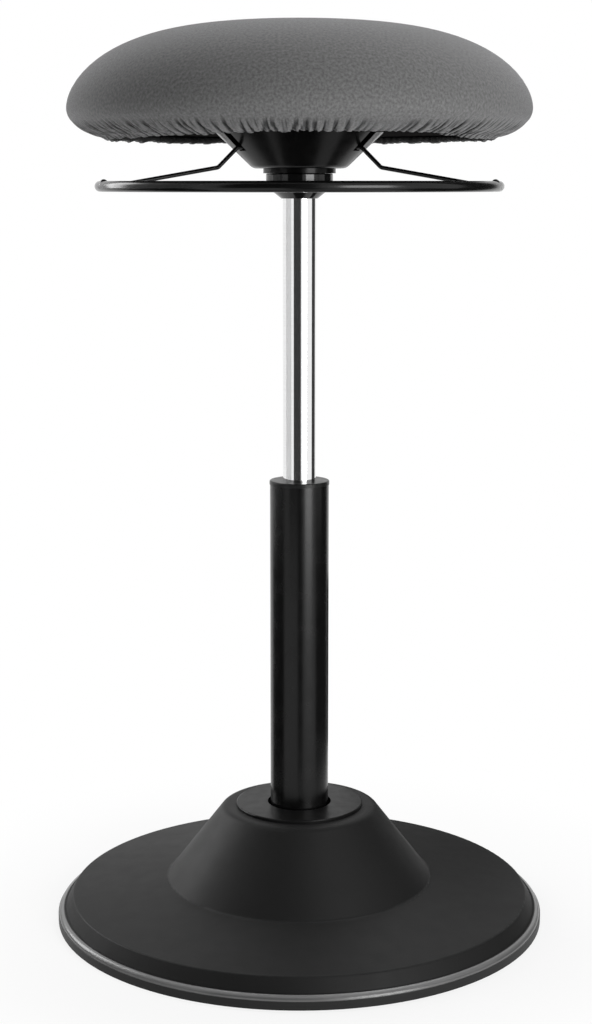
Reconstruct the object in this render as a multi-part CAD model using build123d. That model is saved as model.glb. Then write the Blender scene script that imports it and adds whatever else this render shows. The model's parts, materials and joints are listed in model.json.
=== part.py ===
from build123d import *
import math
import os

# Leaning stool: a round seat on a gas lift that tilts in a rubber-lined ball joint in a heavy base.
# Millimetres. The floor is z = 0, the column stands on the z axis and the front is towards -y.
# Everything is drawn with the seat raised to the top and the column upright.

# Clearances
nest_gap = 0.2          # pieces that sit inside one another and do not move
seat_gap = 0.05         # pressed and tapered seats
running_fit = 0.06      # shaft in its guide, on the radius
turning_gap = 0.3       # surfaces of the ball joint and faces that pass one another

# Base
base_radius = 210.7
edge_wall_height = 7.0
edge_height = 11.0
edge_shoulder = 5.2     # how far the rounded shoulder runs in from the wall
edge_line = 0.6         # step that draws the fine line between wall and shoulder
edge_wall = 6.0
edge_foot_width = 26.0
edge_foot_height = 3.0
cover_wall = 3.0
rim_height = 22.0
rim_bevel = 6.8
rim_fillet = 2.0
cone_foot_radius = 115.0
cone_foot_height = 33.5
cone_foot_fillet = 4.0
cone_top_radius = 66.0
cone_top_height = 97.0
cone_shoulder_fillet = 8.0
rib_count = 12
rib_thickness = 2.5
plate_thickness = 10.0
plate_hole_radius = 30.0
cover_screw_count = 6
cover_screw_circle = 165.0
cover_screw_radius = 2.0
cover_screw_head = 4.5
cover_screw_head_height = 2.5
cover_screw_grip = 9.0  # how deep the screw reaches into its boss
cover_boss_radius = 5.5

# Cap on the cone
cap_radius = 54.8
cap_thickness = 2.7
cap_edge_fillet = 1.0
cap_gap = 2.5           # room for the column to lean
cap_spigot_wall = 5.0
cap_spigot_lip = 1.0    # how far the spigot reaches below the cover's wall

# Ball joint
pivot_drop = 15.0       # pivot below the top of the cone
ball_radius = 44.0
ball_crown = 6.0        # top of the ball above the pivot
rubber_thickness = 7.4
rubber_above = 5.0
rubber_below = 22.0
race_lip = 5.5          # how far the lower race reaches in under the ball
race_headroom = 1.5     # race ring to the cover's top wall
race_chamfer = 1.5
housing_wall = 10.0
housing_flange_width = 22.0
housing_flange_height = 7.0
gusset_count = 6
gusset_thickness = 6.0
gusset_height = 26.0
housing_bolt_radius = 4.0
housing_bolt_reach = 8.0
bolt_head_radius = 7.5
bolt_head_height = 5.3
clamp_screw_radius = 2.5
clamp_screw_head = 4.2
clamp_screw_head_height = 3.0
clamp_screw_reach = 9.0
socket_depth = 60.0     # bottom of the column socket below the pivot
socket_neck_radius = 30.0
buffer_gap = 7.5        # room for the neck to swing inside the rubber stop
buffer_height = 17.0

# Gas lift
tube_radius = 25.0
tube_wall = 2.0
tube_bottom_rise = 2.0  # bottom of the tube above the bottom of its socket
tube_length = 355.5
tube_floor = 3.0
taper_drop = 1.6        # how much the radius narrows down to the tube's bottom
taper_margin = 3.0      # straight start of the taper above the socket
bush_length = 100.0
bush_rim_height = 3.5
bush_rim_proud = 0.4
bush_rim_fillet = 1.2
chrome_radius = 14.0
chrome_wall = 1.8
chrome_taper_drop = 0.6
guide_margin = 2.0      # raised pressure tube above the lower end of the bush
rod_radius = 5.0
rod_hole_gap = 1.0
washer_radius = 18.0
washer_thickness = 1.5
thrust_ball_radius = 2.0
thrust_ball_count = 8
thrust_ball_circle = 12.0
cage_thickness = 2.0
cage_width = 7.0
rod_collar_radius = 9.0
rod_collar_height = 3.0
bump_stop_radius = 13.0
bump_stop_height = 14.1
clip_thickness = 1.5
clip_radius = 9.0
rod_tail = 3.0
rod_guide_length = 12.0
rod_guide_rise = 2.0
piston_length = 10.0
piston_play = 1.5       # piston above the rod guide when the seat is raised
rod_rivet_radius = 7.5
rod_rivet_height = 3.0
valve_length = 46.0
valve_rise = 2.0        # top of the valve below the tube's end
button_radius = 3.0
button_reach = 24.0     # stem of the button inside the valve
button_spare = 4.0      # bore left below the stem
button_head_radius = 5.5
button_head_height = 5.4
button_travel = 2.1
lowered_gap = 5.6       # collar above the tube when the seat is at the bottom

# Hub
collar_radius = 27.75
collar_cone_height = 9.9
collar_floor = 4.2      # collar under the end of the socket
collar_height = 10.4
collar_fillet = 1.0
socket_wall = 4.0
socket_flange_radius = 30.0
socket_flange_height = 3.9
socket_rise = 3.5       # socket above the underside of the hub
hub_height = 29.0
hub_top_radius = 69.0
hub_bottom_radius = 38.4
hub_wall = 3.5
hub_floor = 4.0
hub_fillet = 8.0
chrome_rise = 5.0       # end of the pressure tube above the underside of the hub
slot_width = 10.5
slot_margin = 1.2       # slot below the arm that pivots in it
rear_slot_drop = 9.5    # slot below the rear arm, which swings down
socket_screw_count = 3
socket_screw_circle = 24.3
socket_screw_radius = 2.0
socket_screw_head = 3.6
socket_screw_head_height = 2.5
hub_screw_count = 3
hub_screw_circle = 48.5
hub_screw_radius = 3.0
hub_screw_head = 6.0
hub_screw_head_height = 4.0
hub_screw_grip = 13.0
hub_boss_radius = 6.5
hub_boss_height = 20.0
screw_gap = 0.1

# Seat
board_lap = 7.0         # how far the hem is drawn in under the board
board_thickness = 12.0
board_fillet = 3.0
seat_radius = 190.4
seat_crown = 75.9       # top of the seat above the board
waist_rise = 19.0       # widest part of the seat above the underside of the board
crown_flat = 3.1        # power that flattens the top of the crown
crown_round = 1.76      # power that rounds the crown down to the waist
crown_steps = 8
cloth = 1.8
cloth_board_gap = 0.7
hem_radius = 159.0
hem_drop = 5.0
elastic_width = 4.0
elastic_thickness = 1.6

# Release ring
ring_radius = 164.2
ring_wire = 4.3
ring_drop = 14.5        # centre of the ring below the underside of the hub
nub_radius = 3.4
nub_rise = 2.3
nub_angle = 17.0        # turned forward from the sides
arm_wire = 1.7
arm_weld_rise = 0.9     # where the arm meets the ring, above the middle of its wire
arm_bend_radius = 75.8  # where the arm turns up, from the axis
arm_bend_rise = 0.5
arm_entry_radius = 57.8
arm_bend = 5.0
arm_inner_radius = 14.0
weld_gap = 0.1
lift_gap = 0.25
dish_radius = 30.5
dish_wall = 2.5
dish_rim = 7.75
dish_thickness = 2.5
dish_fillet = 1.0
press_gap = 0.2
press_ball_radius = 7.0
front_arm_spread = 60.0  # front arms to each side of the front

# Levels and radii that follow
skirt_radius = base_radius - edge_wall - nest_gap
plate_bottom = edge_foot_height
plate_top = plate_bottom + plate_thickness
cap_hole_radius = tube_radius + cap_gap
cover_hole_radius = cap_hole_radius + cap_spigot_wall + nest_gap
pivot = cone_top_height - pivot_drop
ball_top = pivot + ball_crown
rubber_inner = ball_radius + turning_gap
rubber_outer = rubber_inner + rubber_thickness
race_radius = rubber_outer + turning_gap
housing_bore = race_radius - race_lip
housing_radius = race_radius + housing_wall
housing_flange_radius = housing_radius + housing_flange_width
housing_bolt_circle = housing_radius + housing_flange_width / 2
race_top = cone_top_height - cover_wall - race_headroom
clamp_screw_circle = race_radius + housing_wall / 2
socket_bottom = pivot - socket_depth
tube_bottom = socket_bottom + tube_bottom_rise
tube_top = tube_bottom + tube_length
taper_top = ball_top + taper_margin
tube_bore = tube_radius - tube_wall
bush_top = tube_top + bush_rim_height
bush_bottom = tube_top - bush_length
chrome_bore = chrome_radius - chrome_wall
chrome_bottom = bush_bottom + guide_margin
bearing_floor = tube_bottom + tube_floor
balls_bottom = bearing_floor + washer_thickness + seat_gap
thrust_washer_bottom = balls_bottom + 2 * thrust_ball_radius + seat_gap
rod_collar_bottom = thrust_washer_bottom + washer_thickness
bump_stop_bottom = rod_collar_bottom + rod_collar_height
bump_stop_top = bump_stop_bottom + bump_stop_height
stroke = chrome_bottom - turning_gap - bump_stop_top
collar_bottom = bush_top + stroke + lowered_gap
collar_shoulder = collar_bottom + collar_cone_height
collar_top = collar_shoulder + collar_height
taper_bottom = collar_bottom + collar_floor + nest_gap
flange_bottom = collar_top + nest_gap
hub_bottom = flange_bottom + socket_flange_height
socket_top = hub_bottom + socket_rise
socket_radius = chrome_radius + socket_wall
chrome_top = hub_bottom + chrome_rise
valve_top = chrome_top - valve_rise
board_bottom = hub_bottom + hub_height
board_top = board_bottom + board_thickness
crown_top = board_top + seat_crown
board_radius = hem_radius + board_lap
waist = board_bottom + waist_rise
cover_bottom = board_bottom - cloth_board_gap - cloth
hem_bottom = cover_bottom - hem_drop
ring_level = hub_bottom - ring_drop
dish_top = board_bottom - lift_gap - dish_rim
dish_bottom = dish_top - dish_thickness
arm_level = dish_bottom - seat_gap - arm_wire
rod_guide_bottom = chrome_bottom + rod_guide_rise
piston_bottom = rod_guide_bottom + rod_guide_length + piston_play
rod_top = piston_bottom + piston_length
clip_top = tube_bottom - seat_gap
rod_bottom = clip_top - 2 * clip_thickness - rod_tail
button_head_bottom = chrome_top + button_travel + turning_gap
button_top = button_head_bottom + button_head_height
front_arm_angles = {"arm_left": 270 - front_arm_spread, "arm_right": 270 + front_arm_spread}
rear_arm_angle = 90


def outline_face(outline, rounds=()):
    """Close an outline of (radius, height) points and round the corners that are named."""
    face = Sketch() + make_face(Polyline(*outline, close=True))
    for corner, radius in rounds:
        vertex = face.vertices().sort_by_distance(corner)[0]
        face = fillet(vertex, radius)
    return face


def turned(outline, rounds=()):
    """Turn a closed outline round the upright axis."""
    return revolve(Plane.XZ * outline_face(outline, rounds), Axis.Z)


def turned_edges(*edges):
    """Turn an outline that has arcs or curves in it round the upright axis."""
    return revolve(Plane.XZ * make_face(Curve() + list(edges)), Axis.Z)


def round_bar(radius, low, high):
    """An upright cylinder between two levels."""
    return Pos(0, 0, low) * Cylinder(radius, high - low, align=(Align.CENTER, Align.CENTER, Align.MIN))


def washer(outer, inner, low, high):
    """A flat ring between two levels."""
    return turned([(inner, low), (outer, low), (outer, high), (inner, high)])


def around(piece, circle, count, start=0.0):
    """Copies of a piece, evenly spaced on a circle about the axis."""
    return [place * piece for place in PolarLocations(circle, count, start)]


def cut_holes(body, radius, circle, count, low, high, start=0.0):
    """Drill a circle of upright holes."""
    return body - around(round_bar(radius, low, high), circle, count, start)


def set_of(pieces):
    """Like pieces that share one name and stay separate solids."""
    return Compound(children=[solid for piece in pieces for solid in piece.solids()])


def inset(outline, wall):
    """Move an open outline to its left by a wall's thickness, with sharp corners."""
    runs = []
    for start, end in zip(outline, outline[1:]):
        run = (Vector(*end) - Vector(*start)).normalized()
        side = Vector(-run.Y, run.X) * wall
        runs.append((Vector(*start) + side, run))
    moved = [runs[0][0]]
    for (first, along), (second, beyond) in zip(runs, runs[1:]):
        across = along.cross(beyond).Z
        moved.append(first + along * ((second - first).cross(beyond).Z / across))
    last, run = runs[-1]
    moved.append(last + run * (Vector(*outline[-1]) - Vector(*outline[-2])).length)
    return [(point.X, point.Y) for point in moved]


def ball_point(radius, height):
    """Point at a level on a sphere about the pivot."""
    return (math.sqrt(radius**2 - (height - pivot) ** 2), height)


def ball_arc(radius, low, high):
    """Arc between two levels on a sphere about the pivot."""
    middle = (low + high) / 2
    return ThreePointArc(ball_point(radius, low), ball_point(radius, middle), ball_point(radius, high))


def tube_outside(height):
    """Radius of the gas lift's tube, which tapers inside its socket."""
    share = min(1.0, (height - tube_bottom) / (taper_top - tube_bottom))
    return tube_radius - taper_drop * (1 - share)


# Base

cover_outline = [
    (skirt_radius, plate_bottom),
    (skirt_radius, edge_height),
    (skirt_radius - rim_bevel, rim_height),
    (cone_foot_radius, cone_foot_height),
    (cone_top_radius, cone_top_height),
    (cover_hole_radius, cone_top_height),
]


def under_cover(wall, low):
    """The room under the cover at a depth below its outside, down to a level."""
    roof = inset(cover_outline, wall)
    rounds = [(roof[3], cone_foot_fillet + wall), (roof[4], cone_shoulder_fillet - wall)]
    return turned([(0, low), (roof[0][0], low)] + roof[1:] + [(0, cone_top_height - wall)], rounds)


def base_cover():
    rounds = [
        (cover_outline[2], rim_fillet),
        (cover_outline[3], cone_foot_fillet),
        (cover_outline[4], cone_shoulder_fillet),
    ]
    shell = turned(cover_outline + [(cover_hole_radius, plate_bottom)], rounds)
    shell -= under_cover(cover_wall, plate_bottom)
    inside = under_cover(cover_wall / 2, plate_top + nest_gap)
    inside -= round_bar(housing_flange_radius + nest_gap, 0, cone_top_height)
    rib = Pos(base_radius / 2, 0, cone_top_height / 2) * Box(base_radius, rib_thickness, cone_top_height)
    ribs = [inside & (Rot(0, 0, 360 * (turn + 0.5) / rib_count) * rib) for turn in range(rib_count)]
    boss = round_bar(cover_boss_radius, plate_top, cone_top_height)
    bosses = [inside & post for post in around(boss, cover_screw_circle, cover_screw_count)]
    cover = shell + ribs + bosses
    return cut_holes(
        cover,
        cover_screw_radius + screw_gap,
        cover_screw_circle,
        cover_screw_count,
        plate_top,
        plate_top + cover_screw_grip + nest_gap,
    )


def edge_ring():
    wall_inside = base_radius - edge_wall
    shoulder_start = base_radius - edge_line
    shoulder_end = base_radius - edge_shoulder
    shoulder = EllipticalCenterArc(
        (shoulder_end, edge_wall_height),
        shoulder_start - shoulder_end,
        edge_height - edge_wall_height,
        start_angle=0,
        arc_size=90,
    )
    rest = Polyline(
        (shoulder_end, edge_height),
        (wall_inside, edge_height),
        (wall_inside, edge_foot_height),
        (base_radius - edge_foot_width, edge_foot_height),
        (base_radius - edge_foot_width, 0),
        (base_radius, 0),
        (base_radius, edge_wall_height),
        (shoulder_start, edge_wall_height),
    )
    return turned_edges(shoulder, rest)


def ballast_plate():
    plate = under_cover(cover_wall + nest_gap, plate_bottom)
    plate &= washer(base_radius, plate_hole_radius, plate_bottom, plate_top)
    plate = cut_holes(
        plate,
        housing_bolt_radius + screw_gap,
        housing_bolt_circle,
        gusset_count,
        plate_bottom,
        plate_top,
    )
    plate = cut_holes(
        plate,
        cover_screw_radius + screw_gap,
        cover_screw_circle,
        cover_screw_count,
        plate_bottom,
        plate_top,
    )
    return cut_holes(
        plate,
        cover_screw_head + screw_gap,
        cover_screw_circle,
        cover_screw_count,
        plate_bottom,
        plate_bottom + cover_screw_head_height,
    )


def cover_screws():
    head = round_bar(cover_screw_head, plate_bottom, plate_bottom + cover_screw_head_height)
    screw = head + round_bar(cover_screw_radius, plate_bottom, plate_top + cover_screw_grip)
    return set_of(around(screw, cover_screw_circle, cover_screw_count))


def tilt_housing():
    lip = pivot - math.sqrt(race_radius**2 - housing_bore**2)
    flange_top = plate_top + housing_flange_height
    corners = [
        (race_radius, pivot),
        (housing_radius, pivot),
        (housing_radius, flange_top),
        (housing_flange_radius, flange_top),
        (housing_flange_radius, plate_top),
        (housing_bore, plate_top),
        (housing_bore, lip),
    ]
    housing = turned_edges(Polyline(*corners), ball_arc(race_radius, lip, pivot))
    wall_middle = housing_radius - housing_wall / 2
    gusset_outline = [
        (wall_middle, flange_top),
        (housing_flange_radius - housing_flange_height, flange_top),
        (housing_radius, flange_top + gusset_height),
        (wall_middle, flange_top + gusset_height),
    ]
    gusset = extrude(Plane.XZ * outline_face(gusset_outline), gusset_thickness / 2, both=True)
    half_step = 180 / gusset_count
    housing += [
        Rot(0, 0, half_step + 360 * turn / gusset_count) * gusset for turn in range(gusset_count)
    ]
    housing = cut_holes(
        housing,
        housing_bolt_radius + screw_gap,
        housing_bolt_circle,
        gusset_count,
        plate_top,
        flange_top,
    )
    return cut_holes(
        housing,
        clamp_screw_radius + screw_gap,
        clamp_screw_circle,
        gusset_count,
        pivot - clamp_screw_reach - nest_gap,
        pivot,
    )


def housing_bolts():
    flange_top = plate_top + housing_flange_height
    head = Pos(0, 0, flange_top) * extrude(RegularPolygon(bolt_head_radius, 6), bolt_head_height)
    bolt = head + round_bar(housing_bolt_radius, plate_top - housing_bolt_reach, flange_top)
    return set_of(around(bolt, housing_bolt_circle, gusset_count))


def race_ring():
    corners = [
        (race_radius, pivot),
        (housing_radius, pivot),
        (housing_radius, race_top - race_chamfer),
        (housing_radius - race_chamfer, race_top),
        ball_point(race_radius, race_top),
    ]
    ring = turned_edges(Polyline(*corners), ball_arc(race_radius, pivot, race_top))
    hole = clamp_screw_radius + screw_gap
    recess = clamp_screw_head + screw_gap
    recess_floor = race_top - race_chamfer - clamp_screw_head_height
    ring = cut_holes(ring, hole, clamp_screw_circle, gusset_count, pivot, race_top)
    return cut_holes(ring, recess, clamp_screw_circle, gusset_count, recess_floor, race_top)


def clamp_screws():
    head_bottom = race_top - race_chamfer - clamp_screw_head_height
    head = round_bar(clamp_screw_head, head_bottom, race_top - race_chamfer)
    screw = head + round_bar(clamp_screw_radius, pivot - clamp_screw_reach, head_bottom)
    return set_of(around(screw, clamp_screw_circle, gusset_count))


def cap_plate():
    cap_top = cone_top_height + cap_thickness
    spigot_bottom = cone_top_height - cover_wall - cap_spigot_lip
    spigot_radius = cap_hole_radius + cap_spigot_wall
    outline = [
        (cap_hole_radius, spigot_bottom),
        (spigot_radius, spigot_bottom),
        (spigot_radius, cone_top_height),
        (cap_radius, cone_top_height),
        (cap_radius, cap_top),
        (cap_hole_radius, cap_top),
    ]
    return turned(outline, [((cap_radius, cap_top), cap_edge_fillet)])


def stop_buffer():
    inner = socket_neck_radius + buffer_gap
    return washer(housing_bore - nest_gap, inner, plate_top, plate_top + buffer_height)


# Tilt bearing and column


def tilt_rubber():
    low = pivot - rubber_below
    high = pivot + rubber_above
    return turned_edges(
        ball_arc(rubber_inner, low, high),
        Line(ball_point(rubber_inner, high), ball_point(rubber_outer, high)),
        ball_arc(rubber_outer, low, high),
        Line(ball_point(rubber_outer, low), ball_point(rubber_inner, low)),
    )


def column_socket():
    neck_top = pivot - math.sqrt(ball_radius**2 - socket_neck_radius**2)
    corners = [
        (socket_neck_radius, neck_top),
        (socket_neck_radius, socket_bottom),
        (tube_outside(tube_bottom) + seat_gap, socket_bottom),
        (tube_outside(tube_bottom) + seat_gap, tube_bottom),
        (tube_outside(ball_top) + seat_gap, ball_top),
        ball_point(ball_radius, ball_top),
    ]
    return turned_edges(Polyline(*corners), ball_arc(ball_radius, neck_top, ball_top))


def outer_tube():
    rod_hole = rod_radius + rod_hole_gap
    outline = [
        (tube_outside(tube_bottom), tube_bottom),
        (tube_radius, taper_top),
        (tube_radius, tube_top),
        (tube_bore, tube_top),
        (tube_bore, taper_top),
        (tube_outside(bearing_floor) - tube_wall, bearing_floor),
        (rod_hole, bearing_floor),
        (rod_hole, tube_bottom),
    ]
    return turned(outline)


def guide_bush():
    rim = tube_radius + bush_rim_proud
    outline = [
        (chrome_radius + running_fit, bush_bottom),
        (tube_bore - seat_gap, bush_bottom),
        (tube_bore - seat_gap, tube_top),
        (rim, tube_top),
        (rim, bush_top),
        (chrome_radius + running_fit, bush_top),
    ]
    return turned(outline, [((rim, bush_top), bush_rim_fillet)])


def bearing_washer():
    return washer(washer_radius, rod_radius + rod_hole_gap, bearing_floor, bearing_floor + washer_thickness)


def ball_cage():
    ball_level = balls_bottom + thrust_ball_radius
    inner = thrust_ball_circle - cage_width / 2
    outer = thrust_ball_circle + cage_width / 2
    cage = washer(outer, inner, ball_level - cage_thickness / 2, ball_level + cage_thickness / 2)
    pocket = Pos(0, 0, ball_level) * Sphere(thrust_ball_radius + running_fit)
    cage -= around(pocket, thrust_ball_circle, thrust_ball_count)
    ball = Pos(0, 0, ball_level) * Sphere(thrust_ball_radius)
    return set_of([cage] + around(ball, thrust_ball_circle, thrust_ball_count))


# Rod


def piston_rod():
    rod = round_bar(rod_radius, rod_bottom, rod_top)
    rod += round_bar(rod_collar_radius, rod_collar_bottom, rod_collar_bottom + rod_collar_height)
    return rod + round_bar(rod_rivet_radius, rod_top, rod_top + rod_rivet_height)


def piston():
    return washer(chrome_bore - running_fit, rod_radius + seat_gap, piston_bottom, rod_top)


def thrust_washer():
    top = thrust_washer_bottom + washer_thickness
    return washer(washer_radius, rod_radius + seat_gap, thrust_washer_bottom, top)


def bump_stop():
    return washer(bump_stop_radius, rod_radius + seat_gap, bump_stop_bottom, bump_stop_top)


def clip_washer():
    return washer(clip_radius, rod_radius + seat_gap, clip_top - clip_thickness, clip_top)


def retaining_clip():
    top = clip_top - clip_thickness
    bottom = top - clip_thickness
    clip = washer(clip_radius - clip_thickness, rod_radius + seat_gap, bottom, top)
    mouth = Pos(clip_radius, 0, bottom) * Box(2 * clip_radius, rod_radius, 4 * clip_thickness)
    return clip - mouth


# Seat


def pressure_tube():
    outline = [
        (chrome_radius, chrome_bottom),
        (chrome_radius, taper_bottom),
        (chrome_radius - chrome_taper_drop, chrome_top),
        (chrome_bore, chrome_top),
        (chrome_bore, chrome_bottom),
    ]
    return turned(outline)


def rod_guide():
    outer = chrome_bore - seat_gap
    top = rod_guide_bottom + rod_guide_length
    return washer(outer, rod_radius + running_fit, rod_guide_bottom, top)


def valve_block():
    block = round_bar(chrome_bore - seat_gap, valve_top - valve_length, valve_top)
    bore_bottom = button_head_bottom - button_reach - button_travel - button_spare
    return block - round_bar(button_radius + running_fit, bore_bottom, valve_top)


def taper_socket():
    mouth = chrome_radius + seat_gap
    narrow = chrome_taper_drop * (socket_top - taper_bottom) / (chrome_top - taper_bottom)
    outline = [
        (mouth, taper_bottom),
        (socket_radius, taper_bottom),
        (socket_radius, flange_bottom),
        (socket_flange_radius, flange_bottom),
        (socket_flange_radius, hub_bottom),
        (socket_radius, hub_bottom),
        (socket_radius, socket_top),
        (mouth - narrow, socket_top),
    ]
    socket = turned(outline)
    return cut_holes(
        socket,
        socket_screw_radius + screw_gap,
        socket_screw_circle,
        socket_screw_count,
        flange_bottom,
        hub_bottom,
    )


def hub_collar():
    bore = socket_radius + nest_gap
    mouth = chrome_radius + nest_gap
    floor_top = collar_bottom + collar_floor
    outline = [
        (mouth, collar_bottom),
        (mouth + collar_fillet, collar_bottom),
        (collar_radius, collar_shoulder),
        (collar_radius, collar_top),
        (bore, collar_top),
        (bore, floor_top),
        (mouth, floor_top),
    ]
    edges = [(collar_radius, collar_shoulder), (collar_radius, collar_top)]
    return turned(outline, [(edge, collar_fillet) for edge in edges])


def slot_drops():
    """For each arm its angle and how far its slot reaches below it."""
    slots = {name: (angle, slot_margin) for name, angle in front_arm_angles.items()}
    slots["arm_rear"] = (rear_arm_angle, rear_slot_drop)
    return slots


def seat_hub():
    wall_line = [(hub_bottom_radius, hub_bottom), (hub_top_radius, board_bottom)]
    inner_line = inset(wall_line, hub_wall)
    lean = (inner_line[1][0] - inner_line[0][0]) / (inner_line[1][1] - inner_line[0][1])
    floor_top = hub_bottom + hub_floor
    bore = socket_radius + nest_gap
    inner_foot = (inner_line[0][0] + lean * (floor_top - inner_line[0][1]), floor_top)
    inner_rim = (inner_line[0][0] + lean * (board_bottom - inner_line[0][1]), board_bottom)
    envelope_outline = [(bore, hub_bottom)] + wall_line + [(bore, board_bottom)]
    envelope = turned(envelope_outline, [(wall_line[0], hub_fillet)])
    cup = [(0, floor_top), inner_foot, inner_rim, (0, board_bottom)]
    hub = envelope - turned(cup)
    boss = round_bar(hub_boss_radius, board_bottom - hub_boss_height, board_bottom)
    hub += [envelope & post for post in around(boss, hub_screw_circle, hub_screw_count, 30)]
    hub -= turned([(0, floor_top), (bore, floor_top), (bore, board_bottom), (0, board_bottom)])
    hub = cut_holes(
        hub,
        hub_screw_radius + screw_gap,
        hub_screw_circle,
        hub_screw_count,
        board_bottom - hub_screw_grip - nest_gap,
        board_bottom,
        30,
    )
    hub = cut_holes(
        hub,
        socket_screw_radius + screw_gap,
        socket_screw_circle,
        socket_screw_count,
        hub_bottom,
        floor_top,
    )
    for angle, drop in slot_drops().values():
        slot = Box(hub_top_radius, slot_width, hub_height, align=(Align.MIN, Align.CENTER, Align.MIN))
        start = socket_flange_radius
        hub -= Rot(0, 0, angle) * Pos(start, 0, arm_level - arm_wire - drop) * slot
    return hub


def socket_screws():
    floor_top = hub_bottom + hub_floor
    head = round_bar(socket_screw_head, floor_top, floor_top + socket_screw_head_height)
    screw = head + round_bar(socket_screw_radius, flange_bottom, floor_top)
    return set_of(around(screw, socket_screw_circle, socket_screw_count))


def seat_board():
    lower_edge = (board_radius, board_bottom)
    upper_edge = (board_radius, board_top)
    outline = [(0, board_bottom), lower_edge, upper_edge, (0, board_top)]
    board = turned(outline, [(lower_edge, board_fillet), (upper_edge, board_fillet)])
    hole = hub_screw_radius + screw_gap
    recess = hub_screw_head + screw_gap
    recess_floor = board_top - hub_screw_head_height
    board = cut_holes(board, hole, hub_screw_circle, hub_screw_count, board_bottom, board_top, 30)
    return cut_holes(board, recess, hub_screw_circle, hub_screw_count, recess_floor, board_top, 30)


def hub_screws():
    head_bottom = board_top - hub_screw_head_height
    head = round_bar(hub_screw_head, head_bottom, board_top)
    screw = head + round_bar(hub_screw_radius, board_bottom - hub_screw_grip, head_bottom)
    return set_of(around(screw, hub_screw_circle, hub_screw_count, 30))


def seat_curves(depth):
    """Outside of the seat at a depth below the cloth: the crown and the tuck under the board."""
    radius = seat_radius - depth
    top = crown_top - depth
    bottom = cover_bottom + depth
    shoulder = []
    for step in range(1, crown_steps):
        turn = math.pi / 2 * step / crown_steps
        out = radius * math.sin(turn) ** (2 / crown_flat)
        shoulder.append((out, waist + (top - waist) * math.cos(turn) ** (2 / crown_round)))
    crown = Spline((0, top), *shoulder, (radius, waist), tangents=[(1, 0), (0, -1)])
    tuck_in = hem_radius + depth
    centre = (tuck_in, waist)
    tuck = EllipticalCenterArc(centre, radius - tuck_in, waist - bottom, start_angle=-90, arc_size=90)
    return crown, tuck


def seat_cover():
    crown, tuck = seat_curves(0)
    inner_crown, inner_tuck = seat_curves(cloth)
    hem_inside = hem_radius - cloth
    hem_top = cover_bottom + cloth
    hem = Polyline(
        (hem_radius, cover_bottom),
        (hem_radius, hem_bottom),
        (hem_inside, hem_bottom),
        (hem_inside, hem_top),
        (hem_radius + cloth, hem_top),
    )
    top = Line((0, crown_top - cloth), (0, crown_top))
    return turned_edges(crown, tuck, hem, inner_tuck, inner_crown, top)


def seat_foam():
    depth = cloth + turning_gap
    crown, tuck = seat_curves(depth)
    recess_radius = board_radius + turning_gap
    foam_floor = board_top + turning_gap
    under = cover_bottom + depth
    flat = Polyline((hem_radius + depth, under), (0, under), (0, crown_top - depth))
    return turned_edges(crown, tuck, flat) - round_bar(recess_radius, hem_bottom, foam_floor)


def hem_elastic():
    outer = hem_radius - cloth - nest_gap
    top = cover_bottom
    return washer(outer, outer - elastic_thickness, top - elastic_width, top)


# Release ring


def handle_ring():
    ring = Pos(0, 0, ring_level) * Torus(ring_radius, ring_wire)
    for angle in (180 + nub_angle, 360 - nub_angle):
        ring += Rot(0, 0, angle) * Pos(ring_radius, 0, ring_level + nub_rise) * Sphere(nub_radius)
    return ring


def arm(angle):
    route = FilletPolyline(
        (ring_radius, ring_level + arm_weld_rise),
        (arm_bend_radius, hub_bottom + arm_bend_rise),
        (arm_entry_radius, arm_level),
        (arm_inner_radius, arm_level),
        radius=arm_bend,
    )
    path = Plane.XZ * route
    section = Plane(path @ 0, z_dir=path % 0) * Circle(arm_wire)
    coped = sweep(section, path) - Pos(0, 0, ring_level) * Torus(ring_radius, ring_wire + weld_gap)
    return Rot(0, 0, angle) * coped


def release_plate():
    dish_inner = dish_radius - dish_wall
    rim_top = dish_top + dish_rim
    rounds = [((dish_radius, rim_top), dish_fillet), ((dish_inner, rim_top), dish_fillet)]
    outline = [
        (0, dish_bottom),
        (dish_radius, dish_bottom),
        (dish_radius, rim_top),
        (dish_inner, rim_top),
        (dish_inner, dish_top),
        (0, dish_top),
    ]
    presser = Pos(0, 0, button_top + press_gap + press_ball_radius) * Sphere(press_ball_radius)
    above = round_bar(dish_radius, dish_top, dish_top + 2 * press_ball_radius)
    return turned(outline, rounds) + (presser - above)


def release_button():
    stem = round_bar(button_radius, button_head_bottom - button_reach, button_head_bottom)
    return stem + round_bar(button_head_radius, button_head_bottom, button_top)


pieces = {
    "base_cover": base_cover(),
    "edge_ring": edge_ring(),
    "ballast_plate": ballast_plate(),
    "cover_screws": cover_screws(),
    "tilt_housing": tilt_housing(),
    "housing_bolts": housing_bolts(),
    "race_ring": race_ring(),
    "clamp_screws": clamp_screws(),
    "cap_plate": cap_plate(),
    "stop_buffer": stop_buffer(),
    "tilt_rubber": tilt_rubber(),
    "column_socket": column_socket(),
    "outer_tube": outer_tube(),
    "guide_bush": guide_bush(),
    "bearing_washer": bearing_washer(),
    "ball_cage": ball_cage(),
    "piston_rod": piston_rod(),
    "piston": piston(),
    "thrust_washer": thrust_washer(),
    "bump_stop": bump_stop(),
    "clip_washer": clip_washer(),
    "retaining_clip": retaining_clip(),
    "pressure_tube": pressure_tube(),
    "rod_guide": rod_guide(),
    "valve_block": valve_block(),
    "taper_socket": taper_socket(),
    "hub_collar": hub_collar(),
    "seat_hub": seat_hub(),
    "socket_screws": socket_screws(),
    "seat_board": seat_board(),
    "hub_screws": hub_screws(),
    "seat_foam": seat_foam(),
    "seat_cover": seat_cover(),
    "hem_elastic": hem_elastic(),
    "handle_ring": handle_ring(),
    "release_plate": release_plate(),
    "release_button": release_button(),
}
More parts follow.
